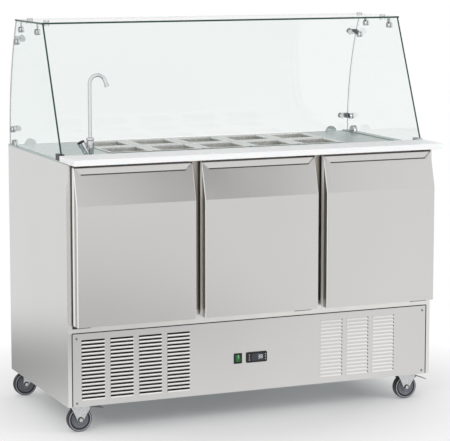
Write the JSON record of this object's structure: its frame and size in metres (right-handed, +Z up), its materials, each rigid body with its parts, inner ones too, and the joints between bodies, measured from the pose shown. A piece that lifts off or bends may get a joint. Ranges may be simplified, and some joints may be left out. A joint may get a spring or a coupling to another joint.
{
  "type": "refrigerated saladette",
  "caption": "Stainless salad counter on swivel casters, with drop-in pans, a cutting board, a bent glass canopy and hinged doors below.",
  "frame": {"origin": "on the floor, under the middle of the whole box", "axes": "+Z up, -Y to the cook's side with the doors, +X to the right seen from there"},
  "size_m": [1.3715, 0.744, 1.3712],
  "materials": {
    "brushed_stainless": "satin",
    "worktop_stainless": "satin",
    "liner_stainless": "satin",
    "pan_stainless": "satin",
    "galvanised_sheet": "satin",
    "hinge_steel": "satin",
    "screw_steel": "satin",
    "foam": "matte",
    "door_foam": "matte",
    "gasket_rubber": "matte",
    "black_enamel": "satin",
    "fin_aluminium": "satin",
    "coated_wire": "satin",
    "black_abs": "satin",
    "green_rocker": "gloss",
    "clear_glass": "gloss",
    "polished_chrome": "polished",
    "white_polyethylene": "satin",
    "zinc_steel": "satin",
    "wheel_rubber": "satin",
    "brake_black": "satin"
  },
  "bodies": {
    "cabinet": {"outer_casing": "brushed_stainless", "base_tray": "galvanised_sheet", "insulation": "foam", "inner_liner": "liner_stainless", "door_frame": "brushed_stainless", "worktop": "worktop_stainless", "pan_divider_bars": "worktop_stainless", "base_panel": "brushed_stainless", "panel_screws": "screw_steel", "compressor": "black_enamel", "condenser": "fin_aluminium", "fan_shroud": "galvanised_sheet", "evaporator": "fin_aluminium", "wire_shelves": "coated_wire", "controller": "black_abs", "switch_frame": "black_abs", "hinge_brackets": "hinge_steel", "back_glass": "clear_glass", "side_glasses": "clear_glass", "top_glass": "clear_glass", "glass_connectors": "polished_chrome", "glass_clamps": "polished_chrome", "end_blocks": "black_abs", "tap_body": "polished_chrome", "caster_mounts": "zinc_steel", "cable_gland": "black_abs"},
    "door_1": {"door_1_skin": "brushed_stainless", "door_1_panel": "door_foam", "door_1_gasket": "gasket_rubber"},
    "door_2": {"door_2_skin": "brushed_stainless", "door_2_panel": "door_foam", "door_2_gasket": "gasket_rubber"},
    "door_3": {"door_3_skin": "brushed_stainless", "door_3_panel": "door_foam", "door_3_gasket": "gasket_rubber"},
    "pan_1": {"pan_1": "pan_stainless"},
    "pan_2": {"pan_2": "pan_stainless"},
    "pan_3": {"pan_3": "pan_stainless"},
    "pan_4": {"pan_4": "pan_stainless"},
    "pan_5": {"pan_5": "pan_stainless"},
    "pan_6": {"pan_6": "pan_stainless"},
    "pan_7": {"pan_7": "pan_stainless"},
    "pan_8": {"pan_8": "pan_stainless"},
    "pan_9": {"pan_9": "pan_stainless"},
    "pan_10": {"pan_10": "pan_stainless"},
    "cutting_board": {"cutting_board": "white_polyethylene"},
    "tap_spout": {"tap_spout": "polished_chrome"},
    "tap_knob": {"tap_knob": "polished_chrome"},
    "power_rocker": {"power_rocker": "green_rocker"},
    "condenser_fan": {"condenser_fan": "black_abs"},
    "fork_front_left": {"caster_fork_front_left": "zinc_steel"},
    "wheel_front_left": {"caster_wheel_front_left": "wheel_rubber"},
    "fork_front_right": {"caster_fork_front_right": "zinc_steel"},
    "wheel_front_right": {"caster_wheel_front_right": "wheel_rubber"},
    "fork_rear_left": {"caster_fork_rear_left": "zinc_steel"},
    "wheel_rear_left": {"caster_wheel_rear_left": "wheel_rubber"},
    "fork_rear_right": {"caster_fork_rear_right": "zinc_steel"},
    "wheel_rear_right": {"caster_wheel_rear_right": "wheel_rubber"},
    "brake_pedal_left": {"brake_pedal_left": "brake_black"},
    "brake_pedal_right": {"brake_pedal_right": "brake_black"}
  },
  "joints": [
    {"name": "door_1_hinge", "type": "hinge", "parent": "cabinet", "child": "door_1", "pos_m": [-0.6515, -0.3065, 0.373], "axis": [0, 0, -1], "range_deg": [0, 90], "stiffness_Nm_per_rad": 1.5, "springref_deg": -11.46},
    {"name": "door_2_hinge", "type": "hinge", "parent": "cabinet", "child": "door_2", "pos_m": [0.197, -0.3065, 0.373], "axis": [0, 0, 1], "range_deg": [0, 90], "stiffness_Nm_per_rad": 1.5, "springref_deg": -11.46},
    {"name": "door_3_hinge", "type": "hinge", "parent": "cabinet", "child": "door_3", "pos_m": [0.6515, -0.3065, 0.373], "axis": [0, 0, 1], "range_deg": [0, 90], "stiffness_Nm_per_rad": 1.5, "springref_deg": -11.46},
    {"name": "pan_1_lift", "type": "slide", "parent": "cabinet", "child": "pan_1", "axis": [0, 0, 1], "range_m": [0, 0.2]},
    {"name": "pan_2_lift", "type": "slide", "parent": "cabinet", "child": "pan_2", "axis": [0, 0, 1], "range_m": [0, 0.2]},
    {"name": "pan_3_lift", "type": "slide", "parent": "cabinet", "child": "pan_3", "axis": [0, 0, 1], "range_m": [0, 0.2]},
    {"name": "pan_4_lift", "type": "slide", "parent": "cabinet", "child": "pan_4", "axis": [0, 0, 1], "range_m": [0, 0.2]},
    {"name": "pan_5_lift", "type": "slide", "parent": "cabinet", "child": "pan_5", "axis": [0, 0, 1], "range_m": [0, 0.2]},
    {"name": "pan_6_lift", "type": "slide", "parent": "cabinet", "child": "pan_6", "axis": [0, 0, 1], "range_m": [0, 0.2]},
    {"name": "pan_7_lift", "type": "slide", "parent": "cabinet", "child": "pan_7", "axis": [0, 0, 1], "range_m": [0, 0.2]},
    {"name": "pan_8_lift", "type": "slide", "parent": "cabinet", "child": "pan_8", "axis": [0, 0, 1], "range_m": [0, 0.2]},
    {"name": "pan_9_lift", "type": "slide", "parent": "cabinet", "child": "pan_9", "axis": [0, 0, 1], "range_m": [0, 0.2]},
    {"name": "pan_10_lift", "type": "slide", "parent": "cabinet", "child": "pan_10", "axis": [0, 0, 1], "range_m": [0, 0.2]},
    {"name": "cutting_board_slide", "type": "slide", "parent": "cabinet", "child": "cutting_board", "axis": [0, -1, 0], "range_m": [0, 0.15]},
    {"name": "tap_spout_swing", "type": "hinge", "parent": "cabinet", "child": "tap_spout", "pos_m": [-0.537, -0.1145, 0.975], "axis": [0, 0, 1], "range_deg": [-120, 120]},
    {"name": "tap_knob_turn", "type": "hinge", "parent": "cabinet", "child": "tap_knob", "pos_m": [-0.548, -0.1145, 0.921], "axis": [-0.4695, 0, 0.8829], "range_deg": [0, 90]},
    {"name": "power_rocker_tilt", "type": "hinge", "parent": "cabinet", "child": "power_rocker", "pos_m": [-0.067, -0.289, 0.21], "axis": [1, 0, 0], "range_deg": [0, 16]},
    {"name": "condenser_fan_spin", "type": "hinge", "parent": "cabinet", "child": "condenser_fan", "pos_m": [-0.437, -0.189, 0.214], "axis": [0, 1, 0], "continuous": true},
    {"name": "caster_swivel_front_left", "type": "hinge", "parent": "cabinet", "child": "fork_front_left", "pos_m": [-0.645, -0.2495, 0.0923], "axis": [0, 0, 1], "continuous": true},
    {"name": "caster_roll_front_left", "type": "hinge", "parent": "fork_front_left", "child": "wheel_front_left", "pos_m": [-0.632, -0.2495, 0.0425], "axis": [0, 1, 0], "continuous": true},
    {"name": "caster_swivel_front_right", "type": "hinge", "parent": "cabinet", "child": "fork_front_right", "pos_m": [0.592, -0.2495, 0.0923], "axis": [0, 0, 1], "continuous": true},
    {"name": "caster_roll_front_right", "type": "hinge", "parent": "fork_front_right", "child": "wheel_front_right", "pos_m": [0.605, -0.2495, 0.0425], "axis": [0, 1, 0], "continuous": true},
    {"name": "caster_swivel_rear_left", "type": "hinge", "parent": "cabinet", "child": "fork_rear_left", "pos_m": [-0.631, 0.3255, 0.0923], "axis": [0, 0, 1], "continuous": true},
    {"name": "caster_roll_rear_left", "type": "hinge", "parent": "fork_rear_left", "child": "wheel_rear_left", "pos_m": [-0.644, 0.3255, 0.0425], "axis": [0, 1, 0], "continuous": true},
    {"name": "caster_swivel_rear_right", "type": "hinge", "parent": "cabinet", "child": "fork_rear_right", "pos_m": [0.592, 0.3255, 0.0923], "axis": [0, 0, 1], "continuous": true},
    {"name": "caster_roll_rear_right", "type": "hinge", "parent": "fork_rear_right", "child": "wheel_rear_right", "pos_m": [0.605, 0.3255, 0.0425], "axis": [0, 1, 0], "continuous": true},
    {"name": "brake_left", "type": "hinge", "parent": "fork_front_left", "child": "brake_pedal_left", "pos_m": [-0.605, -0.2495, 0.0835], "axis": [0, 1, 0], "range_deg": [0, 11]},
    {"name": "brake_right", "type": "hinge", "parent": "fork_front_right", "child": "brake_pedal_right", "pos_m": [0.632, -0.2495, 0.0835], "axis": [0, 1, 0], "range_deg": [-11, 0]}
  ]
}
